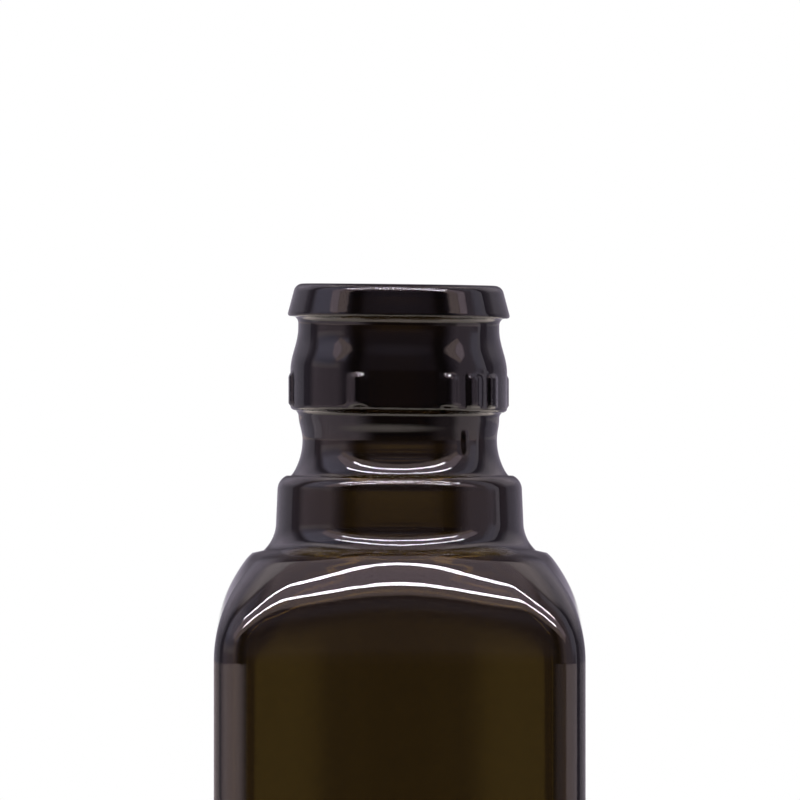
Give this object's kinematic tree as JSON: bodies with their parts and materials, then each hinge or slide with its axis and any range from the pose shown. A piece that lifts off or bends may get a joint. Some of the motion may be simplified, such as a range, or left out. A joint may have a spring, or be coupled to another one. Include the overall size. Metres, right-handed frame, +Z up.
{
  "type": "marasca bottle",
  "caption": "Square dark green glass oil bottle with rounded edges, a domed shoulder, a round collar and a ribbed finish for a pourer closure, open and empty.",
  "frame": {"origin": "on the bottle's axis, in the plane that it stands on", "axes": "+Z up along the bottle's axis, -Y towards the face that the picture shows, +X to that view's right"},
  "size_m": [0.047, 0.047, 0.1951],
  "materials": {
    "glass": "smooth gloss, dark antique green"
  },
  "bodies": {
    "root": {"bottle": "glass"}
  },
  "joints": []
}
